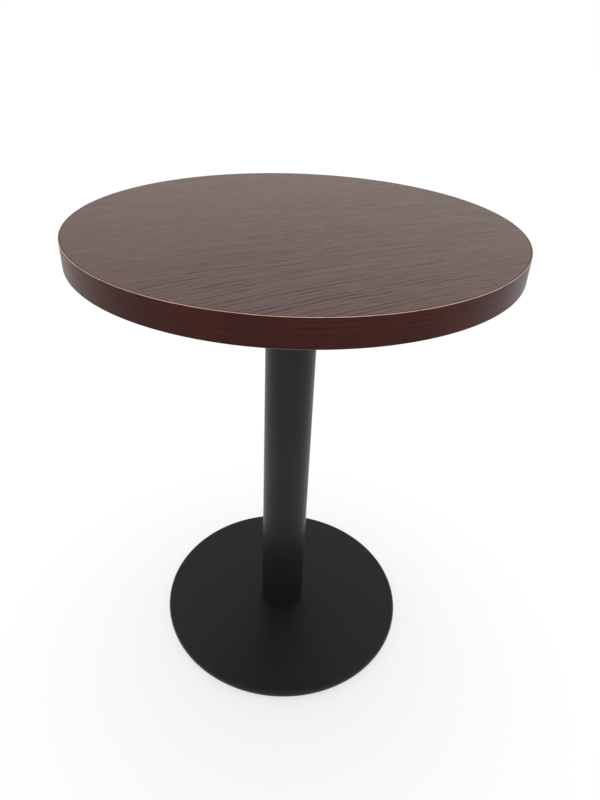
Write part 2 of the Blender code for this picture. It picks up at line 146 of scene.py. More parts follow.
class TableSizes(PropertyGroup):
    """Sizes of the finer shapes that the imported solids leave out."""

    top_steps: count("Top steps", "Steps round the top and base", 288)
    tube_steps: count("Tube steps", "Steps round the column", 128)
    rod_steps: count("Rod steps", "Steps round rods and nuts", 48)
    hole_steps: count("Hole steps", "Steps round the wood screws and their holes", 24)

    face_ease: metres("Face ease", "Rounding of the laminate's cut edge", 0.0002)
    glue_line: metres("Glue line", "Gap between the laminate and the edge band", 0.0001)
    band_thickness: metres("Band thickness", "Thickness of the edge band", 0.002)
    band_ease: metres("Band ease", "Rounding of the edge band's arrises", 0.001)
    band_seam: metres("Band seam", "Width of the butt seam at the back", 0.0004)

    tube_wall: metres("Tube wall", "Wall of the column tube", 0.002)
    tube_break: metres("Tube edge", "Rounding of the tube's cut ends", 0.0004)
    ring_wall: metres("Ring wall", "Wall of the locating rings", 0.005)
    ring_chamfer: metres("Ring chamfer", "Rounding of the locating rings", 0.001)

    rim_round: metres("Rim rounding", "Rounding of the base plate's upper edge", 0.006)
    under_ease: metres("Under ease", "Rounding of the base plate's lower edge", 0.0008)
    stud_hole: metres("Foot hole", "Radius of the feet's tapped holes", 0.0043)
    stud_hole_roof: metres("Foot hole roof", "Steel left over a foot's hole", 0.0015)
    hole_flare: metres("Hole flare", "Countersink at the mouth of a hole", 0.0006)

    bar_width: metres("Bar width", "Width of the spider's flat bar", 0.040)
    bar_thickness: metres("Bar thickness", "Thickness of the spider's flat bar", 0.005)
    bar_bend: metres("Bend", "Length that each bend in an arm takes up", 0.006)
    bar_corner: metres("Bar corner", "Rounding of the arms' end corners", 0.012)
    bar_edge: metres("Bar edge", "Rounding of the bars' long edges", 0.0006)
    leg_run: metres("Leg run", "Reach of the slanted part of an arm", 0.020)
    arm_root: metres("Arm root", "How far an arm reaches into the hub", 0.015)
    hub_margin: metres("Hub margin", "How far the hub reaches past the column", 0.012)
    hub_raise: metres("Hub raise", "How far the hub stands above the bars", 0.0015)
    hub_edge: metres("Hub edge", "Rounding of the hub's edges", 0.0010)
    rod_hole: metres("Rod hole", "Radius of the hub's hole", 0.0065)
    screw_hole: metres("Screw hole", "Radius of the wood screws' holes", 0.0028)
    weld_size: metres("Weld size", "Radius of the weld beads at the hub", 0.0022)

    rod_pitch: metres("Rod pitch", "Pitch of the tie rod's thread", 0.00175)
    rod_thread: metres("Rod thread", "Length of thread at each end of the tie rod", 0.042)
    rod_chamfer: metres("Rod chamfer", "Chamfer on the ends of the tie rod", 0.001)
    nut_wall: metres("Nut wall", "Steel between a nut's thread and its flats", 0.003)
    thread_gap: metres("Thread gap", "Clearance of a nut or washer on the rod", 0.0003)
    washer_edge: metres("Washer edge", "Rounding of a washer's edges", 0.0003)
    spring_split: metres("Spring split", "Gap in the split washer", 0.0015)

    screw_pitch: metres("Screw pitch", "Pitch of a wood screw's thread", 0.0022)
    screw_core: metres("Screw core", "Radius of a wood screw under its thread", 0.0017)
    screw_radius: metres("Screw radius", "Radius over a wood screw's thread", 0.0025)
    screw_point: metres("Screw point", "Length of a wood screw's point", 0.005)
    screw_blunt: metres("Screw tip", "Radius at the very tip of a wood screw", 0.0003)
    screw_rim: metres("Head rim", "Upright rim of a screw's head", 0.0008)
    screw_head: metres("Head height", "Height of a screw's head", 0.0034)
    recess_width: metres("Recess width", "Width of the cross recess's slots", 0.0010)
    recess_length: metres("Recess length", "Length of the cross recess's slots", 0.0052)
    recess_depth: metres("Recess depth", "Depth of the cross recess", 0.0020)

    stud_pitch: metres("Stud pitch", "Pitch of a foot's thread", 0.00125)
    stud_radius: metres("Stud radius", "Radius over a foot's thread", 0.004)
    stud_chamfer: metres("Stud chamfer", "Chamfer at the end of a foot's thread", 0.0008)
    neck_radius: metres("Neck radius", "Radius of the stud's neck", 0.0025)
    button_lip: metres("Button lip", "How far the button stands past the neck", 0.0015)
    button_height: metres("Button height", "Height of the stud's button", 0.0012)
    collar_wall: metres("Collar wall", "Steel between a stud and its collar's flats", 0.0025)
    collar_height: metres("Collar height", "Height of the hex collar", 0.0025)
    pad_lip: metres("Pad lip", "Nylon over the stud's button", 0.002)
    pad_floor: metres("Pad floor", "Nylon under the stud's button", 0.0012)
    pad_ease: metres("Pad ease", "Rounding of the pad's edges", 0.001)
    seat: metres("Seat", "Gap between pieces that touch", 0.0003)


class TableFinishes(PropertyGroup):
    """Colours of the finishes, as linear values."""

    # The face colours are partly the laminate's own dark red-brown and partly painted sheen: a neutral grey
    # lift that stands in for the reflection on the satin top.
    face: colour("Face", "Laminate between the grain lines", (0.1010, 0.0530, 0.0482))
    face_light: colour("Face, light", "Paler bands of the laminate", (0.1510, 0.0797, 0.0655))
    face_dark: colour("Face, dark", "Grain lines of the laminate", (0.016, 0.006, 0.005))
    edge: colour("Edge", "Edge band between its streaks", (0.074, 0.0158, 0.0116))
    edge_light: colour("Edge, light", "Paler streaks of the edge band", (0.106, 0.0242, 0.0180))
    edge_dark: colour("Edge, dark", "Dark streaks of the edge band", (0.036, 0.0088, 0.0064))
    trimmed: colour("Trimmed edge", "Bare body of the band at its arrises", (0.68, 0.52, 0.44))
    trimmed_warm: colour("Trimmed edge, warm", "Stained parts of the bare body", (0.66, 0.44, 0.30))
    back: colour("Back sheet", "Balancing laminate under the top", (0.050, 0.032, 0.025))
    back_dark: colour("Back sheet, dark", "Fibres of the balancing laminate", (0.028, 0.018, 0.014))
    board: colour("Board", "Chips of the particle board", (0.46, 0.33, 0.20))
    board_dark: colour("Board, dark", "Dark chips of the particle board", (0.25, 0.16, 0.085))
    coat: colour("Black coat", "Powder coat on the steel", (0.0168, 0.0168, 0.0206))
    coat_light: colour("Black coat, light", "Pale specks of the powder coat", (0.0258, 0.0258, 0.0306))
    zinc: colour("Zinc", "Zinc plating", (0.62, 0.62, 0.60))
    zinc_dark: colour("Zinc, dark", "Dull patches of the plating", (0.44, 0.45, 0.46))
    nylon: colour("Nylon", "Moulded black nylon", (0.017, 0.017, 0.018))
    nylon_light: colour("Nylon, light", "Pale flecks of the nylon", (0.030, 0.030, 0.031))
    floor: colour("Floor", "The studio floor", (0.36, 0.36, 0.36))


class StudioSetup(PropertyGroup):
    """Camera and light."""

    camera_distance: metres("Distance", "Camera's distance in front of the column", 0.8213)
    camera_height: metres("Height", "Camera's height over the floor", 0.9652)
    camera_pitch: angle("Pitch", "How far the camera looks down", math.radians(32.316))
    camera_yaw: angle("Yaw", "How far the camera looks to the right", math.radians(-0.558))
    camera_roll: angle("Roll", "How far the camera leans to the right", math.radians(-1.832))
    focal_length: number("Focal length", "In millimetres", 27.834)
    sensor_size: number("Sensor", "Long side in millimetres", 36.0)
    shift_x: number("Shift X", "Framing, in shares of the long side", 0.0204)
    shift_y: number("Shift Y", "Framing, in shares of the long side", 0.0049)
    sky_light: number("Sky light", "Even light from all round", 0.62)
    sky_low: colour("Sky, low right", "Low sky on the right, as gloss shows it", (1.0, 0.93, 0.84))
    sky_left: colour("Sky, low left", "Low sky on the left, as gloss shows it", (0.69, 0.645, 0.595))
    sky_high: colour("Sky, half-way up", "Sky half-way up, as gloss shows it", (0.28, 0.28, 0.30))
    sky_top: colour("Sky, overhead", "Sky overhead, as gloss shows it", (0.66, 0.66, 0.66))
    sky_low_end: angle("Low sky's end", "Height to which the low sky reaches", math.radians(6))
    sky_high_start: angle("Half-way", "Height at which the sky is dimmest", math.radians(38))
    sky_top_start: angle("Overhead", "Height from which the sky counts as overhead", math.radians(47))
    sun_light: number("Top light", "Soft light from overhead", 1.20)
    sun_size: angle("Top light size", "Angle that the soft overhead light fills", math.radians(50))
    sun_tilt: angle("Top light tilt", "How far the overhead light leans back", math.radians(10))
    sun_height: metres("Top light height", "Where the overhead light is drawn", 3.0)
    floor_glow: number("Floor white", "White that only views see", 0.672)
    floor_size: metres("Floor size", "Side of the square floor", 30.0)
    floor_gap: metres("Floor gap", "How far the floor lies under the feet", 0.0002)


# Meshes


def select_only(piece):
    bpy.ops.object.select_all(action="DESELECT")
    bpy.context.view_layer.objects.active = piece
    piece.select_set(True)


@contextmanager
def editing(piece):
    """Edit mode on one piece alone."""
    select_only(piece)
    bpy.ops.object.mode_set(mode="EDIT")
    yield
    bpy.ops.object.mode_set(mode="OBJECT")


def pick_all():
    bpy.ops.mesh.select_all(action="SELECT")


def pick(piece, kind, test):
    """In edit mode, select only the vertices (VERT) or edges (EDGE) that pass the test."""
    bpy.ops.mesh.select_mode(type=kind)
    bpy.ops.mesh.select_all(action="DESELECT")
    shape = bmesh.from_edit_mesh(piece.data)
    for element in shape.verts if kind == "VERT" else shape.edges:
        element.select = test(element)
    shape.select_flush_mode()
    bmesh.update_edit_mesh(piece.data)


def pick_edges(piece, test):
    """In edit mode, select only the edges whose two ends both pass the test."""
    pick(piece, "EDGE", lambda edge: all(test(vert.co) for vert in edge.verts))


def lies_at(place, radius, height):
    """Whether a place lies this far from the axis and at this height."""
    return math.dist((math.hypot(place.x, place.y), place.z), (radius, height)) < NEAR


def primitive(add, name, **settings):
    """A new piece, started from one of the mesh primitives."""
    bpy.ops.object.select_all(action="DESELECT")
    add(**settings)
    piece = bpy.context.active_object
    piece.name = name
    piece.data.name = name
    return piece


def new_line(name, points, bearing=0.0):
    """A piece that is only a line through (radius, height) points, left in edit mode."""
    piece = primitive(bpy.ops.mesh.primitive_plane_add, name, size=START_SIZE)
    out = Vector((math.cos(bearing), math.sin(bearing), 0.0))
    places = [out * radius + Vector((0.0, 0.0, height)) for radius, height in points]
    bpy.ops.object.mode_set(mode="EDIT")
    bpy.ops.mesh.select_mode(type="VERT")
    pick_all()
    bpy.ops.mesh.merge(type="CENTER")
    bpy.ops.transform.translate(value=places[0])
    for here, there in zip(places, places[1:]):
        bpy.ops.mesh.extrude_vertices_move(TRANSFORM_OT_translate={"value": there - here})
    return piece


def close_mesh():
    """In edit mode, merge what spin or screw left doubled and turn every face outwards."""
    pick_all()
    bpy.ops.mesh.remove_doubles(threshold=MERGE)
    bpy.ops.mesh.normals_make_consistent(inside=False)


def sweep(steps, turn):
    """In edit mode, spin a line or a section about Z and close what it makes."""
    pick_all()
    bpy.ops.mesh.spin(steps=steps, angle=turn, center=ORIGIN, axis=SPIN_AXIS)
    close_mesh()


def turned(name, points, steps):
    """A shape turned about Z. Its line starts and ends on the axis, or runs round a ring's section."""
    on_axis = points[0][0] == 0.0
    piece = new_line(name, points if on_axis else [*points, points[0]])
    sweep(steps, FULL_TURN)
    if on_axis:
        # Each flat cap is a fan about the axis, and becomes one face
        flat = [a[1] for a, b in (points[:2], points[:-3:-1]) if a[1] == b[1]]
        pick(piece, "VERT", lambda vert: any(lies_at(vert.co, 0.0, height) for height in flat))
        bpy.ops.mesh.dissolve_verts()
    bpy.ops.object.mode_set(mode="OBJECT")
    return piece


def split_ring(name, points, steps, bearing, gap):
    """A ring of a flat section with a gap at a bearing and both ends closed."""
    missing = gap / max(radius for radius, _ in points)
    piece = new_line(name, points, bearing + missing / 2)
    pick_all()
    bpy.ops.mesh.edge_face_add()
    sweep(steps, FULL_TURN - missing)
    bpy.ops.object.mode_set(mode="OBJECT")
    return piece


def section(inner, outer, base, top):
    """Corners of a flat section. The two outer ones are in the middle."""
    return [(inner, top), (outer, top), (outer, base), (inner, base)]


def bevel(size, segments):
    """In edit mode, round the selected edges."""
    bpy.ops.mesh.bevel(offset=size, segments=segments, profile=0.5, affect="EDGES", clamp_overlap=False)


def round_edges(piece, places, size, segments):
    """Round the edges that run round the axis at these (radius, height) places."""
    for place in places:
        with editing(piece):
            pick_edges(piece, lambda co: lies_at(co, *place))
            bevel(size, segments)


def apply_step(piece, kind, **settings):
    """Add a modifier, set it and apply it."""
    select_only(piece)
    step = piece.modifiers.new(kind.title(), kind)
    for name, value in settings.items():
        setattr(step, name, value)
    bpy.ops.object.modifier_apply(modifier=step.name)


def discard(*pieces):
    for piece in pieces:
        bpy.data.objects.remove(piece, do_unlink=True)


def combine(piece, other, operation):
    """Cut, join or keep the shared part of two shapes, and drop the second."""
    apply_step(piece, "BOOLEAN", object=other, operation=operation, solver="EXACT")
    discard(other)
    with editing(piece):
        pick_all()
        bpy.ops.mesh.dissolve_degenerate(threshold=MERGE)


def move_mesh(piece, offset):
    """Move a piece's mesh and leave its object at the origin."""
    with editing(piece):
        pick_all()
        bpy.ops.transform.translate(value=offset)


def turn_mesh(piece, turn):
    """Turn a piece's mesh about Z. With no window the operator turns the other way."""
    with editing(piece):
        pick_all()
        bpy.ops.transform.rotate(value=-turn, orient_axis="Z", center_override=ORIGIN)


def copy_piece(piece, name, offset=ORIGIN):
    """A copy with its own mesh, moved by an offset."""
    other = piece.copy()
    other.data = piece.data.copy()
    other.name = name
    other.data.name = name
    bpy.context.scene.collection.objects.link(other)
    move_mesh(other, offset)
    return other


def turned_copy(piece, turn):
    other = copy_piece(piece, piece.name + "_turned")
    turn_mesh(other, turn)
    return other


def hex_blank(name, flat, base, top, steps, bore=0.0, flare=0.0):
    """A hexagonal blank whose corners are turned off at both faces, with a bore if it is given one."""
    corner = flat / math.cos(HEX_HALF)
    face, outer = flat * HEX_FACE, corner + NEAR
    drop = (outer - face) * math.tan(HEX_SLOPE)
    outside = [(face, top), (outer, top - drop), (outer, base + drop), (face, base)]
    if bore:
        inside = [(bore + flare, base), (bore, base + flare), (bore, top - flare), (bore + flare, top)]
        blank = turned(name, [*outside, *inside], steps)
    else:
        blank = turned(name, [(0.0, top), *outside, (0.0, base)], steps)
    bar = primitive(
        bpy.ops.mesh.primitive_cylinder_add,
        name + "_flats",
        vertices=6,
        radius=corner,
        depth=top - base + 2 * CUT_PAST,
        location=(0.0, 0.0, (base + top) / 2),
    )
    bpy.ops.object.transform_apply(location=True, rotation=True, scale=True)
    combine(blank, bar, "INTERSECT")
    return blank


def cut_flat(height, **cleared):
    """In edit mode, cut a shape level and close the cut."""
    pick_all()
    plane = {"plane_co": (0.0, 0.0, height), "plane_no": (0.0, 0.0, 1.0)}
    bpy.ops.mesh.bisect(**plane, **cleared, use_fill=True, threshold=MERGE / 10)


def threaded_bar(name, outline, root, pitch, steps):
    """A bar of a turned outline with a right-hand thread: a toothed line swept up one pitch in a turn."""
    crest = max(radius for radius, _ in outline) - NEAR
    heights = [height for _, height in outline]
    base, top = min(heights) - pitch, max(heights) + pitch
    off_the_cut = 0.25 / steps
    start = base - pitch * (1 + off_the_cut)
    points = []
    for tooth in range(math.ceil((top - base) / pitch) + 2):
        height = start + tooth * pitch
        points += [(root, height + share * pitch) for share in ROOT_FLAT]
        points += [(crest, height + share * pitch) for share in CREST_FLAT]
    bar = new_line(name, points)
    bpy.ops.object.mode_set(mode="OBJECT")
    apply_step(bar, "SCREW", axis="Z", angle=FULL_TURN, screw_offset=pitch, steps=steps, render_steps=steps)
    with editing(bar):
        close_mesh()
        cut_flat(base, clear_inner=True)
        cut_flat(top, clear_outer=True)
        close_mesh()
    combine(bar, turned(name + "_outline", outline, steps), "INTERSECT")
    return bar


def drill(piece, node, holes, radius, base, top, steps, flare=0.0):
    """Cut a round hole under each of a numbered set of nodes, wider by flare at its lower mouth."""
    mouth, below = radius + flare, base - CUT_PAST
    line = [(0.0, top), (radius, top), (radius, base + flare), (mouth, base), (mouth, below), (0.0, below)]
    cutter = turned("cutter", list(dict.fromkeys(line)), steps)
    for hole in range(1, holes + 1):
        combine(piece, copy_piece(cutter, "hole", foot_of(f"{node}_{hole}")), "DIFFERENCE")
    discard(cutter)


def place_piece(piece, finish, node, body="table"):
    """Shade a piece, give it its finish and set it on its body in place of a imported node."""
    select_only(piece)
    bpy.ops.object.shade_smooth_by_angle(angle=CORNER_ANGLE)
    apply_step(piece, "WEIGHTED_NORMAL", keep_sharp=True)
    piece.data.materials.clear()
    piece.data.materials.append(finish())
    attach(piece, body)
    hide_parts(node)


def place_copies(first, copies, name, node, finish, body="table"):
    """Copy a piece that is modelled on the axis to each of a numbered set of nodes, itself last."""
    for copy in range(copies, 0, -1):
        offset = foot_of(f"{node}_{copy}")
        if copy > 1:
            piece = copy_piece(first, f"{name}_{copy}", offset)
        else:
            piece = first
            move_mesh(piece, offset)
        place_piece(piece, finish, f"{node}_{copy}", body.format(copy))


# Finishes


class NodeSketch:
    """Adds nodes to one tree and links the inputs that are given as sockets."""

    def __init__(self, tree):
        self.tree = tree

    def add(self, kind, inputs=None, **settings):
        node = self.tree.nodes.new("ShaderNode" + kind)
        for name, value in settings.items():
            setattr(node, name, value)
        self.feed(node, inputs or {})
        return node

    def feed(self, node, inputs):
        for key, value in inputs.items():
            socket = node.inputs[key]
            if isinstance(value, bpy.types.NodeSocket):
                self.tree.links.new(value, socket)
            elif isinstance(value, Color):
                socket.default_value = (*value, 1.0)
            else:
                socket.default_value = value

    def group(self, tree, inputs):
        return self.add("Group", inputs, node_tree=tree).outputs

    def math(self, operation, *values):
        return self.add("Math", dict(enumerate(values)), operation=operation).outputs[0]

    def times(self, first, second):
        return self.math("MULTIPLY", first, second)

    def minus(self, first, second):
        return self.math("SUBTRACT", first, second)

    def ramp(self, value, start, end, low_value=0.0, high_value=1.0, smooth=True):
        kind = "SMOOTHSTEP" if smooth else "LINEAR"
        inputs = {0: value, 1: start, 2: end, 3: low_value, 4: high_value}
        return self.add("MapRange", inputs, interpolation_type=kind).outputs[0]

    def mix(self, factor, first, second):
        return self.add("Mix", {0: factor, 6: first, 7: second}, data_type="RGBA").outputs[2]

    def vector(self, x, y, z=0.0):
        return self.add("CombineXYZ", {0: x, 1: y, 2: z}).outputs[0]

    def split(self, vector):
        return tuple(self.add("SeparateXYZ", {0: vector}).outputs)

    def noise(self, place, scale, detail=2.0, roughness=0.5):
        inputs = {"Vector": place, "Scale": scale, "Detail": detail, "Roughness": roughness}
        return self.add("TexNoise", inputs, noise_dimensions="3D").outputs["Fac"]

    def bump(self, height, distance, strength):
        return self.add("Bump", {"Height": height, "Distance": distance, "Strength": strength}).outputs[0]

    def object_place(self):
        return self.add("TexCoord").outputs["Object"]


def new_group(name, values, results):
    """A shader node group that takes a place and named values: (tree, sketch, its inputs)."""
    tree = bpy.data.node_groups.new(name, "ShaderNodeTree")
    tree.interface.new_socket(name="Place", in_out="INPUT", socket_type="NodeSocketVector")
    for value, default in values.items():
        socket = tree.interface.new_socket(name=value, in_out="INPUT", socket_type="NodeSocketFloat")
        socket.default_value = default
    for result in results:
        tree.interface.new_socket(name=result, in_out="OUTPUT", socket_type="NodeSocketFloat")
    return tree, NodeSketch(tree), tree.nodes.new("NodeGroupInput").outputs


# Noises of the wood figure: scales per metre along and across the grain, layer and detail
WOOD_NOISES = {
    "slow bend": (4.0, 9.0, 3.7, 1.0),
    "quick bend": (17.0, 80.0, 8.1, 2.0),
    "frayed rings": (26.0, 420.0, 4.5, 2.0),
    "broken rings": (17.0, 130.0, 9.3, 2.0),
    "threads": (20.0, 1300.0, 11.9, 2.0),
    "fibres": (9.0, 800.0, 2.2, 3.0),
    "fine pores": (45.0, 2600.0, 1.3, 1.0),
    "coarse pores": (30.0, 1500.0, 5.9, 2.0),
    "clumps": (50.0, 260.0, 7.7, 2.0),
    "drift": (2.2, 30.0, 6.4, 2.0),
}
SLOW_BEND = 0.018
QUICK_BEND = 0.0042
RING_FRAY = 0.0025


@functools.cache
def wood_figure():
    """Figure of a sawn board. Place runs along the grain in X and across it in Y.

    The grain's slope against X is Slope at the middle, and falls by Fan for each metre across.
    """
    values = {"Ring Spacing": 0.009, "Slope": 0.0, "Fan": 0.0, "Waviness": 1.0}
    tree, sketch, given = new_group("wood_figure", values, ("Rings", "Fibres", "Pores", "Drift"))
    along, across, _ = sketch.split(given["Place"])

    def streaks(level, name):
        """A noise that is long along the grain and short across it."""
        along_scale, level_scale, layer, detail = WOOD_NOISES[name]
        place = sketch.vector(sketch.times(along, along_scale), sketch.times(level, level_scale), layer)
        return sketch.noise(place, 1.0, detail)

    def sway(level, name):
        """A noise about zero."""
        return sketch.minus(streaks(level, name), 0.5)

    slow = sketch.times(sway(across, "slow bend"), SLOW_BEND)
    quick = sketch.times(sway(across, "quick bend"), QUICK_BEND)
    bent = sketch.math("MULTIPLY_ADD", sketch.math("ADD", slow, quick), given["Waviness"], across)
    fall = sketch.minus(given["Slope"], sketch.times(given["Fan"], bent))
    level = sketch.minus(bent, sketch.times(along, fall))

    # A ring darkens slowly to its late wood and ends sharply. Each has its own strength.
    frayed = sketch.math("MULTIPLY_ADD", sway(level, "frayed rings"), RING_FRAY, level)
    ring = sketch.math("DIVIDE", frayed, given["Ring Spacing"])
    phase = sketch.math("FRACT", ring)
    late = sketch.times(sketch.ramp(phase, 0.38, 0.84), sketch.ramp(phase, 0.90, 1.0, 1.0, 0.0))
    chance = sketch.add("TexWhiteNoise", {"W": sketch.math("FLOOR", ring)}, noise_dimensions="1D")
    strength = sketch.ramp(chance.outputs["Value"], 0.0, 1.0, 0.50, 1.0, smooth=False)
    broken = sketch.ramp(streaks(level, "broken rings"), 0.36, 0.52)
    threads = sketch.ramp(streaks(level, "threads"), 0.36, 0.57, 0.26, 1.0)
    rings = sketch.times(sketch.times(sketch.times(late, strength), broken), threads)

    fine = sketch.ramp(streaks(level, "fine pores"), 0.54, 0.63)
    coarse = sketch.ramp(streaks(level, "coarse pores"), 0.56, 0.64)
    clump = sketch.ramp(streaks(level, "clumps"), 0.40, 0.60, 0.4, 1.0)
    results = {
        "Rings": rings,
        "Fibres": streaks(level, "fibres"),
        "Pores": sketch.times(sketch.math("MAXIMUM", fine, coarse), clump),
        "Drift": streaks(level, "drift"),
    }
    sketch.feed(tree.nodes.new("NodeGroupOutput"), results)
    return tree


@functools.cache
def fine_speckle():
    """Fine even grain of a sprayed, moulded or plated surface, with slow patches under it."""
    values = {"Grain Size": 0.001, "Patch Size": 0.05}
    tree, sketch, given = new_group("fine_speckle", values, ("Speckle", "Patches"))
    grain = sketch.math("DIVIDE", 1.0, given["Grain Size"])
    patch = sketch.math("DIVIDE", 1.0, given["Patch Size"])
    results = {
        "Speckle": sketch.noise(given["Place"], grain, 3.0, 0.55),
        "Patches": sketch.noise(given["Place"], patch, 3.0, 0.5),
    }
    sketch.feed(tree.nodes.new("NodeGroupOutput"), results)
    return tree


def made_once(paint):
    """Make a finish's material the first time it is asked for. The material takes the finish's name."""

    @functools.cache
    @functools.wraps(paint)
    def finish():
        material = bpy.data.materials.new(paint.__name__)
        material.use_nodes = True
        shader = material.node_tree.nodes["Principled BSDF"]
        paint(NodeSketch(material.node_tree), shader, bpy.context.scene.table_finishes)
        return material

    return finish


@made_once
def face_laminate(sketch, shader, colours):
    """Satin dark reddish-brown laminate, its grain rising to the right at the front."""
    place = sketch.object_place()
    figure = sketch.group(wood_figure(), {"Place": place, "Ring Spacing": 0.0092, "Slope": 0.50, "Fan": 0.3})

    # The figure is faint on the left, strongest in the middle and at the front, and fades on the right
    x, y, _ = sketch.split(place)
    towards = sketch.math("MULTIPLY_ADD", y, -0.5, x)
    stronger = sketch.ramp(towards, -0.14, 0.06, 0.38, 1.32)
    fading = sketch.ramp(towards, 0.16, 0.34, 1.0, 0.58)
    rings = sketch.times(figure["Rings"], sketch.times(stronger, fading))

    # Both face colours hold a painted sheen, a neutral grey lift, as well as the laminate's own tone.
    tone = sketch.mix(sketch.ramp(figure["Fibres"], 0.30, 0.70), colours.face_light, colours.face)
    tone = sketch.mix(sketch.ramp(figure["Drift"], 0.45, 0.75, 0.0, 0.35), tone, colours.face_light)
    tone = sketch.mix(rings, tone, colours.face_dark)
    surface = {
        "Base Color": sketch.mix(sketch.times(figure["Pores"], 0.5), tone, colours.face_dark),
        "Roughness": sketch.ramp(figure["Pores"], 0.0, 1.0, 0.48, 0.60),
        "Specular IOR Level": 0.4,
        "Coat Weight": 0.37,
        "Coat Roughness": 0.25,
        "Normal": sketch.bump(sketch.minus(1.0, figure["Pores"]), distance=0.00005, strength=0.6),
    }
    sketch.feed(shader, surface)


@made_once
def edge_laminate(sketch, shader, colours):
    """Glossier edge band, streaked along the rim, with the band's pale body bare at its arrises."""
    radius, base, top = span("top_edge_band")
    half = (top - base) / 2
    x, y, z = sketch.split(sketch.object_place())
    run = sketch.times(sketch.math("ARCTAN2", x, sketch.times(y, -1.0)), radius)
    height = sketch.minus(z, (base + top) / 2)
    grain = {"Place": sketch.vector(run, height), "Ring Spacing": 0.0062, "Slope": 0.006, "Waviness": 0.10}
    figure = sketch.group(wood_figure(), grain)
    tone = sketch.mix(sketch.ramp(figure["Fibres"], 0.30, 0.70), colours.edge_light, colours.edge)
    tone = sketch.mix(sketch.times(figure["Rings"], 0.35), tone, colours.edge_dark)
    tone = sketch.mix(sketch.times(figure["Pores"], 0.4), tone, colours.edge_dark)
    patches = sketch.noise(sketch.vector(run, height, 2.0), 9.0, 2.0)
    tone = sketch.mix(sketch.ramp(patches, 0.4, 0.65, 0.0, 0.35), tone, colours.edge_dark)

    # Trimming bares the body in a line along each arris, whose width wanders
    bare_start, bare_top, bare_bottom = 0.00008, 0.00052, 0.00055
    blur, reach = 0.00008, 0.0009
    depth = sketch.minus(half, sketch.math("ABSOLUTE", height))
    wander = sketch.minus(sketch.noise(sketch.vector(run, 0.0), 45.0, 3.0), 0.5)
    drawn = sketch.math("MULTIPLY_ADD", wander, reach, depth)
    width = sketch.ramp(height, -half, half, bare_bottom, bare_top, smooth=False)
    below = sketch.ramp(sketch.minus(drawn, width), -blur, blur, 1.0, 0.0)
    bare = sketch.times(below, sketch.ramp(depth, 0.0, bare_start))
    stain = sketch.noise(sketch.vector(run, 0.0, 7.0), 7.0, 2.0)
    body = sketch.mix(sketch.ramp(stain, 0.42, 0.58), colours.trimmed, colours.trimmed_warm)
    gloss = sketch.ramp(figure["Pores"], 0.0, 1.0, 0.33, 0.43)
    surface = {
        "Base Color": sketch.mix(bare, tone, body),
        "Roughness": sketch.add("Mix", {0: bare, 2: gloss, 3: 0.6}, data_type="FLOAT").outputs[0],
        "Specular IOR Level": 0.12,
        "Normal": sketch.bump(sketch.minus(1.0, figure["Pores"]), distance=0.00003, strength=0.4),
    }
    sketch.feed(shader, surface)


@made_once
def back_laminate(sketch, shader, colours):
    """Plain matt balancing sheet with a faint fibre."""
    grain = {"Place": sketch.object_place(), "Ring Spacing": 0.011, "Slope": 0.05}
    figure = sketch.group(wood_figure(), grain)
    tone = sketch.mix(sketch.times(figure["Pores"], 0.6), colours.back, colours.back_dark)
    surface = {
        "Base Color": sketch.mix(sketch.times(figure["Rings"], 0.25), tone, colours.back_dark),
        "Roughness": sketch.ramp(figure["Drift"], 0.3, 0.7, 0.55, 0.68),
        "Specular IOR Level": 0.3,
    }
    sketch.feed(shader, surface)


def add_speckle(sketch, grain, patch):
    place = sketch.object_place()
    return sketch.group(fine_speckle(), {"Place": place, "Grain Size": grain, "Patch Size": patch})


def feed_speckled(sketch, shader, speckle, tone, specular, roughness, bump, height=None):
    """What speckled surfaces share: roughness that changes in slow patches, and a fine bump."""
    distance, strength = bump
    surface = {
        "Base Color": tone,
        "Roughness": sketch.ramp(speckle["Patches"], 0.3, 0.7, *roughness),
        "Specular IOR Level": specular,
        "Normal": sketch.bump(height or speckle["Speckle"], distance, strength),
    }
    sketch.feed(shader, surface)


@made_once
def particle_board(sketch, shader, colours):
    """Pressed chips of many tones."""
    cells = sketch.add("TexVoronoi", {"Vector": sketch.object_place(), "Scale": 420.0}).outputs
    chips = sketch.add("SeparateColor", {0: cells["Color"]}).outputs[0]
    speckle = add_speckle(sketch, grain=0.0012, patch=0.03)
    tone = sketch.mix(sketch.ramp(chips, 0.1, 0.9), colours.board_dark, colours.board)
    tone = sketch.mix(sketch.ramp(speckle["Speckle"], 0.5, 0.75, 0.0, 0.5), tone, colours.board_dark)
    values = {"specular": 0.2, "roughness": (0.82, 0.95), "bump": (0.0004, 0.6)}
    feed_speckled(sketch, shader, speckle, tone, **values, height=cells["Distance"])


@made_once
def black_powder_coat(sketch, shader, colours):
    """Fine-textured matt black powder coat."""
    speckle = add_speckle(sketch, grain=0.0011, patch=0.12)
    tone = sketch.mix(sketch.ramp(speckle["Speckle"], 0.45, 0.75), colours.coat, colours.coat_light)
    values = {"specular": 0.24, "roughness": (0.33, 0.40), "bump": (0.00012, 0.45)}
    feed_speckled(sketch, shader, speckle, tone, **values)


@made_once
def zinc_steel(sketch, shader, colours):
    """Bright zinc plating with dull patches."""
    speckle = add_speckle(sketch, grain=0.0009, patch=0.012)
    tone = sketch.mix(sketch.ramp(speckle["Patches"], 0.35, 0.7), colours.zinc, colours.zinc_dark)
    values = {"specular": 0.5, "roughness": (0.28, 0.42), "bump": (0.00002, 0.4)}
    feed_speckled(sketch, shader, speckle, tone, **values)
    sketch.feed(shader, {"Metallic": 1.0})


@made_once
def black_nylon(sketch, shader, colours):
    """Moulded nylon with a dull skin."""
    speckle = add_speckle(sketch, grain=0.0007, patch=0.008)
    tone = sketch.mix(sketch.ramp(speckle["Speckle"], 0.5, 0.8), colours.nylon, colours.nylon_light)
    values = {"specular": 0.35, "roughness": (0.5, 0.62), "bump": (0.00004, 0.4)}
    feed_speckled(sketch, shader, speckle, tone, **values)


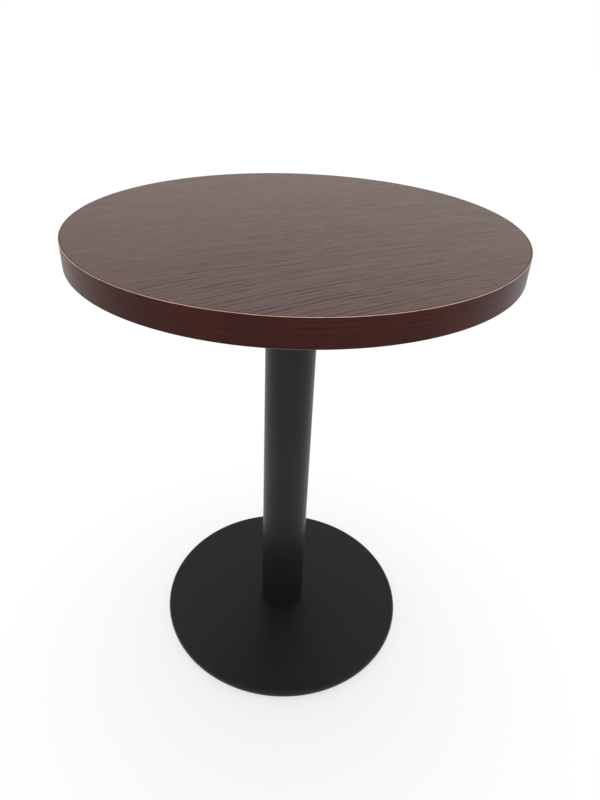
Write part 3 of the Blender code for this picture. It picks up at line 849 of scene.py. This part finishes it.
def seen_rays(sketch):
    """1 for the rays that show a surface, in view, in gloss or through glass, and 0 for its light."""
    path = sketch.add("LightPath").outputs
    gloss = sketch.math("MAXIMUM", path["Is Glossy Ray"], path["Is Transmission Ray"])
    return sketch.math("MAXIMUM", path["Is Camera Ray"], gloss)


def studio_floor(setup, colours):
    """Pale floor that stays white in view and keeps the shadow, and that views from below pass through."""
    material = bpy.data.materials.new("studio_floor")
    material.use_nodes = True
    material.node_tree.nodes.clear()
    sketch = NodeSketch(material.node_tree)
    matt = sketch.add("BsdfDiffuse", {"Color": colours.floor}).outputs[0]
    strength = sketch.times(seen_rays(sketch), setup.floor_glow)
    glow = sketch.add("Emission", {"Strength": strength}).outputs[0]
    white = sketch.add("AddShader", {0: matt, 1: glow}).outputs[0]
    clear = sketch.add("BsdfTransparent").outputs[0]
    below = sketch.add("NewGeometry").outputs["Backfacing"]
    surface = sketch.add("MixShader", {0: below, 1: white, 2: clear}).outputs[0]
    sketch.add("OutputMaterial", {"Surface": surface})
    return material


def studio_world(setup):
    """Even light from all round, plain white in view. Gloss shows it warm low down, dimmer half-way up."""
    world = bpy.data.worlds.new("studio_world")
    world.use_nodes = True
    world.node_tree.nodes.clear()
    sketch = NodeSketch(world.node_tree)
    x, _, z = sketch.split(sketch.add("TexCoord").outputs["Generated"])
    half_way = math.sin(setup.sky_high_start)
    rise = sketch.ramp(z, math.sin(setup.sky_low_end), half_way)
    crown = sketch.ramp(z, half_way, math.sin(setup.sky_top_start))
    level = sketch.mix(sketch.ramp(x, -1.0, 1.0), setup.sky_left, setup.sky_low)
    gloss = sketch.mix(crown, sketch.mix(rise, level, setup.sky_high), setup.sky_top)
    plain = Color((setup.sky_light, setup.sky_light, setup.sky_light))
    sky = sketch.mix(seen_rays(sketch), plain, gloss)
    sky = sketch.mix(sketch.add("LightPath").outputs["Is Camera Ray"], sky, Color((1.0, 1.0, 1.0)))
    light = sketch.add("Background", {"Color": sky, "Strength": 1.0})
    sketch.add("OutputWorld", {"Surface": light.outputs[0]})
    return world


# Operators


def sheet(name, node, sizes):
    """A sheet of laminate that fills the edge band, with its corners."""
    _, base, top = span(node)
    radius = high("top_edge_band").x - sizes.band_thickness - sizes.glue_line
    corners = section(0.0, radius, base, top)
    return turned(name, corners, sizes.top_steps), corners


class TABLE_OT_face_sheet(Operator):
    """The wood-grain laminate on top"""

    bl_idname = "table.face_sheet"
    bl_label = "Face sheet"
    bl_options = UNDO

    def execute(self, context):
        sizes = context.scene.table_sizes
        face, corners = sheet("tabletop_face", "top_face_sheet", sizes)
        round_edges(face, corners[1:2], sizes.face_ease, segments=2)
        place_piece(face, face_laminate, "top_face_sheet")
        return {"FINISHED"}


class TABLE_OT_edge_band(Operator):
    """The band round the rim, with eased arrises and a butt seam at the back"""

    bl_idname = "table.edge_band"
    bl_label = "Edge band"
    bl_options = UNDO

    def execute(self, context):
        sizes = context.scene.table_sizes
        outer, base, top = span("top_edge_band")
        corners = section(outer - sizes.band_thickness, outer, base, top)
        band = split_ring("edge_band", corners, sizes.top_steps, QUARTER_TURN, sizes.band_seam)
        round_edges(band, corners[1:3], sizes.band_ease, segments=6)
        place_piece(band, edge_laminate, "top_edge_band")
        return {"FINISHED"}


def drill_for_screws(piece, sizes, base, top, flare=0.0):
    drill(piece, "spider_screw", SCREW_COUNT, sizes.screw_hole, base, top, sizes.hole_steps, flare)


class TABLE_OT_board(Operator):
    """The particle board inside the top"""

    bl_idname = "table.board"
    bl_label = "Board"
    bl_options = UNDO

    def execute(self, context):
        sizes = context.scene.table_sizes
        board = turned("core_board", section(0.0, *span("top_core")), sizes.top_steps)
        drill_for_screws(board, sizes, low("spider_screw_1").z, high("spider_screw_1").z + sizes.seat)
        place_piece(board, particle_board, "top_core")
        return {"FINISHED"}


class TABLE_OT_back_sheet(Operator):
    """The balancing sheet under the top"""

    bl_idname = "table.back_sheet"
    bl_label = "Back sheet"
    bl_options = UNDO

    def execute(self, context):
        sizes = context.scene.table_sizes
        back, corners = sheet("back_sheet", "top_back_sheet", sizes)
        round_edges(back, corners[2:3], sizes.face_ease, segments=2)
        drill_for_screws(back, sizes, low("spider_screw_1").z, high("top_back_sheet").z + CUT_PAST)
        place_piece(back, back_laminate, "top_back_sheet")
        return {"FINISHED"}


def spider_arm(sizes, hub_radius, root_top):
    """One arm of flat bar, bent up from the hub, with rounded end corners, along +X."""
    reach, _, arm_top = span("spider")
    line = [
        (hub_radius - sizes.arm_root, root_top),
        (hub_radius, root_top),
        (hub_radius + sizes.leg_run, arm_top),
        (reach, arm_top),
    ]
    arm = new_line("spider_arm", line)
    pick(arm, "VERT", lambda vert: len(vert.link_edges) == 2)
    bpy.ops.mesh.bevel(offset=sizes.bar_bend, segments=6, profile=0.5, affect="VERTICES")
    pick_all()
    bpy.ops.transform.translate(value=(0.0, -sizes.bar_width / 2, 0.0))
    bpy.ops.mesh.extrude_edges_move(TRANSFORM_OT_translate={"value": (0.0, sizes.bar_width, 0.0)})
    pick_all()
    bpy.ops.mesh.normals_make_consistent(inside=False)
    bpy.ops.object.mode_set(mode="OBJECT")
    upwards = sum(face.normal.z * face.area for face in arm.data.polygons) > 0
    offset = -1.0 if upwards else 1.0
    apply_step(arm, "SOLIDIFY", thickness=sizes.bar_thickness, offset=offset, use_even_offset=True)
    end, side = reach - NEAR, sizes.bar_width / 2 - NEAR
    with editing(arm):
        close_mesh()
        for hand in (1, -1):
            pick_edges(arm, lambda co: co.x > end and co.y * hand > side)
            bevel(sizes.bar_corner, segments=10)
    edges = {"segments": 2, "limit_method": "ANGLE", "angle_limit": BAR_EDGE_ANGLE}
    apply_step(arm, "BEVEL", width=sizes.bar_edge, **edges)
    return arm


def weld_bead(size, radius, height, half_angle):
    """A rippled bead along an arc round the axis, in the middle of the arc at +X."""
    ripple, end_share, end_rise = 0.14, 0.35, 6.0
    circle = {"vertices": BEAD_SIDES, "radius": size, "fill_type": "NGON"}
    bead = primitive(bpy.ops.mesh.primitive_circle_add, "weld", **circle)
    with editing(bead):
        pick_all()
        bpy.ops.transform.rotate(value=QUARTER_TURN, orient_axis="X", center_override=ORIGIN)
        bpy.ops.transform.translate(value=(radius, 0.0, height))
        bpy.ops.transform.rotate(value=half_angle, orient_axis="Z", center_override=ORIGIN)
        sweep(BEAD_RINGS, 2 * half_angle)
        shape = bmesh.from_edit_mesh(bead.data)
        for vert in shape.verts:
            bearing = math.atan2(vert.co.y, vert.co.x)
            share = (bearing + half_angle) / (2 * half_angle)
            swell = 1.0 - ripple + ripple * abs(math.sin(share * BEAD_RIPPLES * math.pi))
            taper = min(1.0, end_share + end_rise * min(share, 1.0 - share))
            centre = Vector((radius * math.cos(bearing), radius * math.sin(bearing), height))
            vert.co = centre + (vert.co - centre) * swell * taper
        bmesh.update_edit_mesh(bead.data)
    return bead


class TABLE_OT_spider(Operator):
    """The stepped cross bracket under the top, with its arms welded to the hub"""

    bl_idname = "table.spider"
    bl_label = "Spider"
    bl_options = UNDO

    def execute(self, context):
        sizes = context.scene.table_sizes
        _, base, arm_top = span("spider")
        radius = high("column_tube").x + sizes.hub_margin
        top = base + sizes.bar_thickness + 2 * sizes.hub_raise
        corners = section(sizes.rod_hole, radius, base, top)
        spider = turned("spider_bracket", corners, sizes.tube_steps)
        round_edges(spider, corners[1:3], sizes.hub_edge, segments=3)

        half_angle = math.asin(sizes.bar_width / 2 / radius) * BEAD_SHARE
        bar_faces = (top - sizes.hub_raise, base + sizes.hub_raise)
        arm = spider_arm(sizes, radius, bar_faces[0])
        beads = [weld_bead(sizes.weld_size, radius, height, half_angle) for height in bar_faces]
        for place in range(ARM_COUNT):
            for part in (arm, *beads):
                combine(spider, turned_copy(part, place * FULL_TURN / ARM_COUNT), "UNION")
        discard(arm, *beads)
        under = arm_top - sizes.bar_thickness
        drill_for_screws(spider, sizes, under, arm_top + sizes.bar_thickness, sizes.bar_edge)
        place_piece(spider, black_powder_coat, "spider")
        return {"FINISHED"}


def recess_slot(sizes, lowest):
    """A cutter for one slot of the cross recess, narrowing as it goes in."""
    slot = primitive(bpy.ops.mesh.primitive_cube_add, "recess_slot", size=1.0)
    inner, outer = lowest + sizes.recess_depth, lowest - CUT_PAST
    with editing(slot):
        pick_all()
        size = (sizes.recess_length, sizes.recess_width, inner - outer)
        bpy.ops.transform.resize(value=size, center_override=ORIGIN)
        bpy.ops.transform.translate(value=(0.0, 0.0, (inner + outer) / 2))
        pick_edges(slot, lambda co: co.z > inner - NEAR)
        bpy.ops.transform.resize(value=RECESS_TAPER, center_override=(0, 0, inner))
    return slot


class TABLE_OT_wood_screws(Operator):
    """The pan-head wood screws that hold the spider"""

    bl_idname = "table.wood_screws"
    bl_label = "Wood screws"
    bl_options = UNDO

    def execute(self, context):
        sizes = context.scene.table_sizes
        lowest, tip = low("spider_screw_1").z, high("spider_screw_1").z
        seat = lowest + sizes.screw_head
        head, neck = half_width("spider_screw_1"), sizes.screw_radius + NEAR
        rim, dome = seat - sizes.screw_rim, sizes.screw_head - sizes.screw_rim
        turns = [step * QUARTER_TURN / CROWN_STEPS for step in range(CROWN_STEPS)]
        crown = [(head * math.cos(turn), rim - dome * math.sin(turn)) for turn in turns]
        inside = seat + CUT_PAST
        line = [(0.0, inside), (neck, inside), (neck, seat), (head, seat), *crown, (0.0, lowest)]
        screw = turned("wood_screw_1", line, 2 * sizes.hole_steps)
        slot = recess_slot(sizes, lowest)
        crossing = turned_copy(slot, QUARTER_TURN)
        combine(screw, slot, "DIFFERENCE")
        combine(screw, crossing, "DIFFERENCE")

        crest, start = sizes.screw_radius, seat + CUT_PAST / 2
        outline = [(0.0, tip), (sizes.screw_blunt, tip), (crest, tip - sizes.screw_point)]
        outline += [(crest, start), (0.0, start)]
        shank = threaded_bar("shank", outline, sizes.screw_core, sizes.screw_pitch, sizes.hole_steps)
        combine(screw, shank, "UNION")
        place_copies(screw, SCREW_COUNT, "wood_screw", "spider_screw", zinc_steel)
        return {"FINISHED"}


def ring(name, node, inner, steps, ease, segments):
    """A ring as high and wide as its node, with its outer edges rounded."""
    corners = section(inner, *span(node))
    piece = turned(name, corners, steps)
    round_edges(piece, corners[1:3], ease, segments)
    return piece


class TABLE_OT_column(Operator):
    """The column tube"""

    bl_idname = "table.column"
    bl_label = "Column"
    bl_options = UNDO

    def execute(self, context):
        sizes = context.scene.table_sizes
        inner = high("column_tube").x - sizes.tube_wall
        tube = ring("column", "column_tube", inner, sizes.tube_steps, sizes.tube_break, segments=3)
        place_piece(tube, black_powder_coat, "column_tube")
        return {"FINISHED"}


class TABLE_OT_locating_rings(Operator):
    """The rings that centre the column on the spider and the base"""

    bl_idname = "table.locating_rings"
    bl_label = "Locating rings"
    bl_options = UNDO

    def execute(self, context):
        sizes = context.scene.table_sizes
        for node, name in (("base_locating_ring", "base_ring"), ("spider_locating_ring", "spider_ring")):
            inner = high(node).x - sizes.ring_wall
            piece = ring(name, node, inner, sizes.tube_steps, sizes.ring_chamfer, segments=2)
            place_piece(piece, black_powder_coat, node)
        return {"FINISHED"}


class TABLE_OT_tie_rod(Operator):
    """The tie rod, threaded at both ends"""

    bl_idname = "table.tie_rod"
    bl_label = "Tie rod"
    bl_options = UNDO

    def execute(self, context):
        sizes = context.scene.table_sizes
        radius, base, top = span("tie_rod")
        crest = radius - sizes.thread_gap / 2
        root = crest - sizes.rod_pitch * THREAD_DEPTH
        length, chamfer, pitch = sizes.rod_thread, sizes.rod_chamfer, sizes.rod_pitch
        plain = section(0.0, radius, base + length - pitch, top - length + pitch)
        rod = turned("tie_rod_bar", plain, sizes.rod_steps)
        for start, end in ((base, base + length), (top - length, top)):
            outline = [(0.0, end), (crest - chamfer, end), (crest, end - chamfer)]
            outline += [(crest, start + chamfer), (crest - chamfer, start), (0.0, start)]
            combine(rod, threaded_bar("rod_thread", outline, root, pitch, sizes.rod_steps), "UNION")
        place_piece(rod, zinc_steel, "tie_rod")
        return {"FINISHED"}


class TABLE_OT_nuts(Operator):
    """The nut on the spider and the jam nut on the base"""

    bl_idname = "table.nuts"
    bl_label = "Nuts"
    bl_options = UNDO

    def execute(self, context):
        sizes = context.scene.table_sizes
        rod = high("tie_rod").x
        flat, bore = rod + sizes.nut_wall, rod + sizes.thread_gap
        for node, name in (("tie_rod_nut", "rod_nut"), ("tie_rod_jam_nut", "rod_jam_nut")):
            _, base, top = span(node)
            nut = hex_blank(name, flat, base, top, sizes.rod_steps, bore, sizes.hole_flare)
            place_piece(nut, zinc_steel, node)
        return {"FINISHED"}


class TABLE_OT_washers(Operator):
    """The flat washer and the split washer under the nut"""

    bl_idname = "table.washers"
    bl_label = "Washers"
    bl_options = UNDO

    def execute(self, context):
        sizes = context.scene.table_sizes
        bore = high("tie_rod").x + sizes.thread_gap
        steps, ease = sizes.rod_steps, sizes.washer_edge
        washer = ring("rod_washer", "tie_rod_washer", bore, steps, ease, segments=2)
        place_piece(washer, zinc_steel, "tie_rod_washer")

        corners = section(bore, *span("tie_rod_spring_washer"))
        spring = split_ring("rod_spring_washer", corners, steps, -QUARTER_TURN, sizes.spring_split)
        round_edges(spring, corners[1:3], ease, segments=2)
        place_piece(spring, zinc_steel, "tie_rod_spring_washer")
        return {"FINISHED"}


class TABLE_OT_base_plate(Operator):
    """The steel disc, rounded on top and drilled below for the rod and the feet"""

    bl_idname = "table.base_plate"
    bl_label = "Base plate"
    bl_options = UNDO

    def execute(self, context):
        sizes = context.scene.table_sizes
        outer, base, top = span("base_plate")
        bore, flare = high("tie_rod").x + sizes.thread_gap, sizes.hole_flare
        mouth = [(bore + flare, base), (bore, base + flare), (bore, top)]
        plate = turned("base_disc", [*mouth, (outer, top), (outer, base)], sizes.top_steps)
        round_edges(plate, [(outer, top)], sizes.rim_round, segments=12)
        round_edges(plate, [(outer, base)], sizes.under_ease, segments=3)
        roof = top - sizes.stud_hole_roof
        drill(plate, "foot_stud", FOOT_COUNT, sizes.stud_hole, base, roof, sizes.rod_steps, flare)
        place_piece(plate, black_powder_coat, "base_plate")
        return {"FINISHED"}


class TABLE_OT_foot_pads(Operator):
    """The nylon pads of the levelling feet"""

    bl_idname = "table.foot_pads"
    bl_label = "Foot pads"
    bl_options = UNDO

    def execute(self, context):
        sizes = context.scene.table_sizes
        base, top = low("foot_pad_1").z, high("foot_pad_1").z
        mouth, outer = sizes.neck_radius + sizes.seat, half_width("foot_pad_1")
        socket = mouth + sizes.button_lip
        floor, roof = base + sizes.pad_floor, top - sizes.pad_lip
        line = [(0.0, floor), (socket, floor), (socket, roof), (mouth, roof), (mouth, top)]
        line += [(outer, top), (outer, base), (0.0, base)]
        pad = turned("levelling_pad_1", line, sizes.rod_steps)
        round_edges(pad, [(outer, top), (outer, base)], sizes.pad_ease, segments=4)
        place_copies(pad, FOOT_COUNT, "levelling_pad", "foot_pad", black_nylon, "pad_{}")
        return {"FINISHED"}


class TABLE_OT_foot_studs(Operator):
    """The threaded studs of the levelling feet, each with its hex collar and button"""

    bl_idname = "table.foot_studs"
    bl_label = "Foot studs"
    bl_options = UNDO

    def execute(self, context):
        sizes = context.scene.table_sizes
        base, top = low("foot_stud_1").z, high("foot_stud_1").z
        steps = sizes.rod_steps
        collar_base = high("foot_pad_1").z + sizes.seat
        collar_top = collar_base + sizes.collar_height
        inside = (collar_base + collar_top) / 2
        flat = sizes.stud_radius + sizes.collar_wall
        stud = hex_blank("levelling_stud_1", flat, collar_base, collar_top, steps)

        neck, button = sizes.neck_radius, sizes.neck_radius + sizes.button_lip
        button_top = base + sizes.button_height
        line = [(0.0, inside), (neck, inside), (neck, button_top)]
        line += [(button, button_top), (button, base), (0.0, base)]
        combine(stud, turned("button", line, steps), "UNION")

        crest, chamfer = sizes.stud_radius, sizes.stud_chamfer
        root = crest - sizes.stud_pitch * THREAD_DEPTH
        start = inside + sizes.seat
        outline = [(0.0, top), (crest - chamfer, top), (crest, top - chamfer), (crest, start), (0.0, start)]
        combine(stud, threaded_bar("stud_thread", outline, root, sizes.stud_pitch, steps), "UNION")
        place_copies(stud, FOOT_COUNT, "levelling_stud", "foot_stud", zinc_steel, "stud_{}")
        return {"FINISHED"}


def add_floor(setup, colours):
    plane = {"size": setup.floor_size, "location": (0.0, 0.0, -setup.floor_gap)}
    floor = primitive(bpy.ops.mesh.primitive_plane_add, "studio_floor", **plane)
    floor.data.materials.append(studio_floor(setup, colours))


def add_light(setup):
    bpy.ops.object.light_add(type="SUN", location=(0.0, 0.0, setup.sun_height))
    light = bpy.context.active_object
    light.name = "top_light"
    light.data.energy = setup.sun_light
    light.data.angle = setup.sun_size
    light.rotation_euler = (-setup.sun_tilt, 0.0, 0.0)
    light.visible_glossy = False


def add_camera(setup):
    bpy.ops.object.camera_add(location=(0.0, -setup.camera_distance, setup.camera_height))
    camera = bpy.context.active_object
    camera.name = "photo_camera"
    yaw = Matrix.Rotation(-setup.camera_yaw, 4, "Z")
    pitch = Matrix.Rotation(QUARTER_TURN - setup.camera_pitch, 4, "X")
    roll = Matrix.Rotation(-setup.camera_roll, 4, "Z")
    camera.rotation_euler = (yaw @ pitch @ roll).to_euler()
    camera.data.sensor_fit = "AUTO"
    camera.data.sensor_width = setup.sensor_size
    camera.data.lens = setup.focal_length
    camera.data.shift_x = setup.shift_x
    camera.data.shift_y = setup.shift_y
    return camera


class TABLE_OT_studio(Operator):
    """The floor, the soft light and the camera"""

    bl_idname = "table.studio"
    bl_label = "Studio"
    bl_options = UNDO

    def execute(self, context):
        setup = context.scene.table_studio
        add_floor(setup, context.scene.table_finishes)
        add_light(setup)
        context.scene.world = studio_world(setup)
        context.scene.camera = add_camera(setup)
        context.scene.view_settings.view_transform = "Standard"
        return {"FINISHED"}


class TABLE_PT_builder(Panel):
    """Lists the table's pieces and their settings"""

    bl_idname = "TABLE_PT_builder"
    bl_label = "Round table"
    bl_space_type = "VIEW_3D"
    bl_region_type = "UI"
    bl_category = "Table"

    def draw(self, context):
        for operator in OPERATORS:
            self.layout.operator(operator.bl_idname)
        for group in (context.scene.table_sizes, context.scene.table_finishes, context.scene.table_studio):
            box = self.layout.box()
            for name in group.__annotations__:
                box.prop(group, name)


OPERATORS = (
    TABLE_OT_face_sheet,
    TABLE_OT_edge_band,
    TABLE_OT_board,
    TABLE_OT_back_sheet,
    TABLE_OT_spider,
    TABLE_OT_wood_screws,
    TABLE_OT_column,
    TABLE_OT_locating_rings,
    TABLE_OT_tie_rod,
    TABLE_OT_nuts,
    TABLE_OT_washers,
    TABLE_OT_base_plate,
    TABLE_OT_foot_pads,
    TABLE_OT_foot_studs,
    TABLE_OT_studio,
)
SETTINGS = {"table_sizes": TableSizes, "table_finishes": TableFinishes, "table_studio": StudioSetup}


def register():
    for group in SETTINGS.values():
        bpy.utils.register_class(group)
    for name, group in SETTINGS.items():
        setattr(bpy.types.Scene, name, PointerProperty(type=group))
    for operator in OPERATORS:
        bpy.utils.register_class(operator)
    bpy.utils.register_class(TABLE_PT_builder)


def unregister():
    bpy.utils.unregister_class(TABLE_PT_builder)
    for operator in reversed(OPERATORS):
        bpy.utils.unregister_class(operator)
    for name in SETTINGS:
        delattr(bpy.types.Scene, name)
    for group in reversed(SETTINGS.values()):
        bpy.utils.unregister_class(group)


def main():
    register()
    for operator in OPERATORS:
        family, name = operator.bl_idname.split(".")
        getattr(getattr(bpy.ops, family), name)()


if __name__ == "__main__":
    main()
